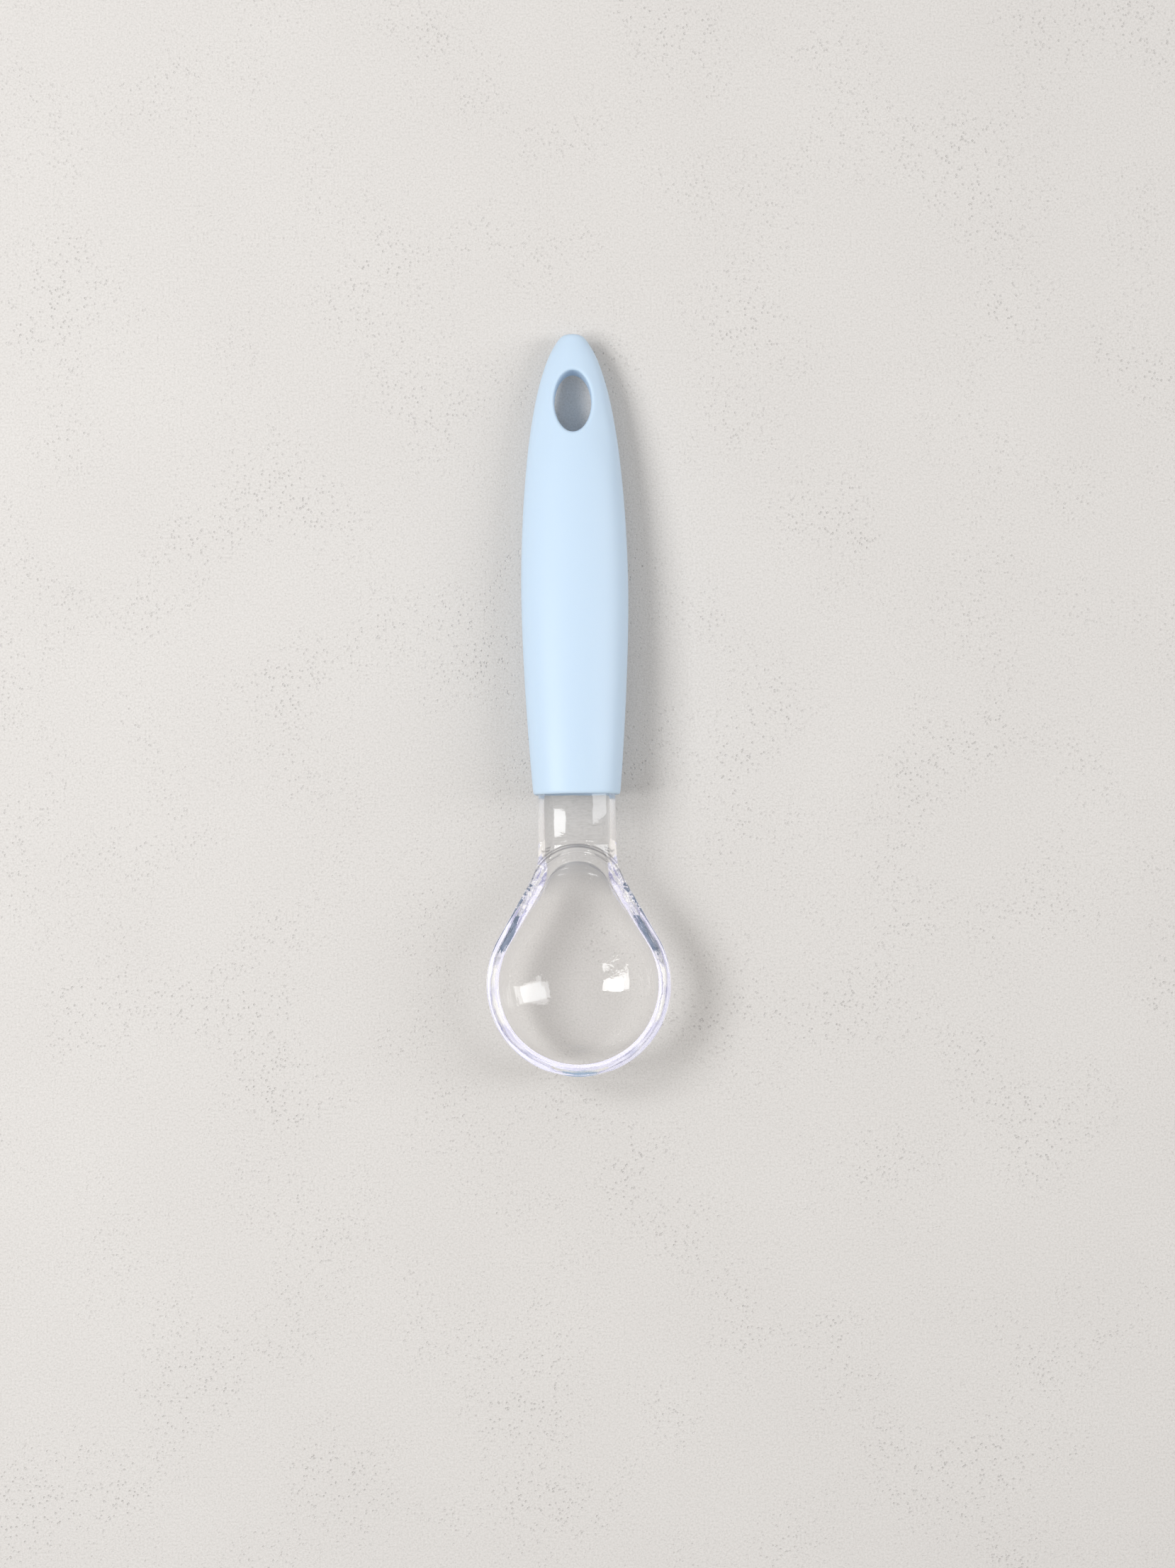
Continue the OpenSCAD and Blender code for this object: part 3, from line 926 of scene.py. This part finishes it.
def floor_material(colours):
    """Pale plaster with faint clouds, a fine tooth, dusty specks and patches of small round pits."""
    material, graph, shader = new_material("Pale plaster")
    place = graph.here()
    pale = colours.floor_pale
    clouds = graph.noise(place, 22.0, 5.0)
    shade = graph.blend(clouds, tinted(pale, 0.965, 0.96, 0.96), tinted(pale, 1.03, 1.03, 1.03))
    specks = graph.noise(place, 2000.0, 4.0, 0.7)
    tooth = graph.noise(place, 3200.0, 3.0)
    patch = graph.grade(graph.noise(place, 34.0, 2.0), 0.42, 0.66, 0.15, 0.75)
    pits = graph.add("ShaderNodeTexVoronoi", {"Vector": place, "Scale": 880.0, "Randomness": 1.0})
    dents = graph.product(graph.grade(pits.outputs["Distance"], 0.10, 0.26, 1.0, 0.0), patch)
    height = graph.maths("SUBTRACT", graph.product(tooth, TOOTH_SHARE), dents)
    dress(graph, shader, {
        "Base Color": graph.blend(1.0, shade, graph.ramp(specks, DUST), "MULTIPLY"),
        "Normal": graph.bump(height, 0.85, 0.0003),
        "Roughness": 0.9,
        "Specular IOR Level": 0.2,
    })
    return material


def softbox(name, place, aim, across, along, watts, colour, shows):
    """An area lamp. One that doesn't show lights things but leaves no highlight on them."""
    lamp = bpy.data.lights.new(name, "AREA")
    lamp.shape = "RECTANGLE"
    lamp.size = across
    lamp.size_y = along
    lamp.energy = watts
    lamp.color = colour
    box = bpy.data.objects.new(name, lamp)
    box.location = place
    box.rotation_euler = (Vector(aim) - Vector(place)).to_track_quat("-Z", "Y").to_euler()
    box.visible_glossy = box.visible_transmission = shows
    bpy.context.scene.collection.objects.link(box)


def set_world(lit, seen):
    """An even room for the light, and a brighter one for what the clear plastic and gloss show of it."""
    world = bpy.data.worlds.new("Room")
    bpy.context.scene.world = world
    world.use_nodes = True
    graph = Graph(world.node_tree)
    place = graph.add("ShaderNodeTexCoord", {}).outputs["Generated"]
    up = graph.add("ShaderNodeSeparateXYZ", {"Vector": place}).outputs["Z"]
    path = graph.add("ShaderNodeLightPath", {}).outputs
    shown = graph.maths("MAXIMUM", path["Is Transmission Ray"], path["Is Glossy Ray"])
    dress(graph, graph.nodes["Background"], {
        "Color": graph.ramp(up, ROOM),
        "Strength": graph.grade(shown, 0.0, 1.0, lit, seen),
    })


def build_stage(colours):
    """The floor, the lamps, the world and the camera."""
    bm = bmesh.new()
    bmesh.ops.create_grid(bm, x_segments=8, y_segments=8, size=FLOOR_HALF)
    floor = finished_object("floor", bm, floor_material(colours))
    for lamp in SOFTBOXES:
        softbox(*lamp)
    set_world(ROOM_LIT, ROOM_SEEN)
    lens = bpy.data.cameras.new("camera")
    lens.sensor_fit = "VERTICAL"
    lens.sensor_height = 36.0
    lens.lens = LENS
    lens.clip_start = 0.05
    lens.clip_end = 10.0
    camera = bpy.data.objects.new("camera", lens)
    camera.location = CAMERA_PLACE
    camera.rotation_euler = Euler((0.0, 0.0, CAMERA_ROLL))
    bpy.context.scene.collection.objects.link(camera)
    bpy.context.scene.camera = camera
    bpy.context.scene.view_settings.view_transform = "Standard"


class MakeHandle(bpy.types.Operator):
    """Make the light blue handle with its hanging hole and its socket"""

    bl_idname = "spoon.make_handle"
    bl_label = "Make handle"

    def execute(self, context):
        handle = build_handle(context.scene.spoon_sizes, context.scene.spoon_colours)
        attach(handle, "root")
        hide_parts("handle")
        return {"FINISHED"}


class MakeScoop(bpy.types.Operator):
    """Make the clear scoop with its rim, its neck and its tang"""

    bl_idname = "spoon.make_scoop"
    bl_label = "Make scoop"

    def execute(self, context):
        scoop = build_scoop(context.scene.spoon_sizes, context.scene.spoon_colours)
        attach(scoop, "root")
        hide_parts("scoop")
        return {"FINISHED"}


class MakeStage(bpy.types.Operator):
    """Make the floor, the lamps, the world and the camera"""

    bl_idname = "spoon.make_stage"
    bl_label = "Make stage"

    def execute(self, context):
        build_stage(context.scene.spoon_colours)
        return {"FINISHED"}


class SpoonPanel(bpy.types.Panel):
    """Lists the spoon's sizes, its colours and its operators"""

    bl_idname = "VIEW3D_PT_spoon"
    bl_label = "Ice cream spoon"
    bl_space_type = "VIEW_3D"
    bl_region_type = "UI"
    bl_category = "Spoon"

    def draw(self, context):
        layout = self.layout
        for group in (context.scene.spoon_sizes, context.scene.spoon_colours):
            box = layout.box()
            for name in group.bl_rna.properties.keys():
                if name not in ("rna_type", "name"):
                    box.prop(group, name)
        for maker in (MakeHandle, MakeScoop, MakeStage):
            layout.operator(maker.bl_idname)


CLASSES = (SpoonSizes, SpoonColours, MakeHandle, MakeScoop, MakeStage, SpoonPanel)


def register():
    for cls in CLASSES:
        bpy.utils.register_class(cls)
    bpy.types.Scene.spoon_sizes = bpy.props.PointerProperty(type=SpoonSizes)
    bpy.types.Scene.spoon_colours = bpy.props.PointerProperty(type=SpoonColours)


def unregister():
    del bpy.types.Scene.spoon_colours
    del bpy.types.Scene.spoon_sizes
    for cls in reversed(CLASSES):
        bpy.utils.unregister_class(cls)


def main():
    register()
    bpy.ops.spoon.make_stage()
    bpy.ops.spoon.make_handle()
    bpy.ops.spoon.make_scoop()


if __name__ == "__main__":
    main()
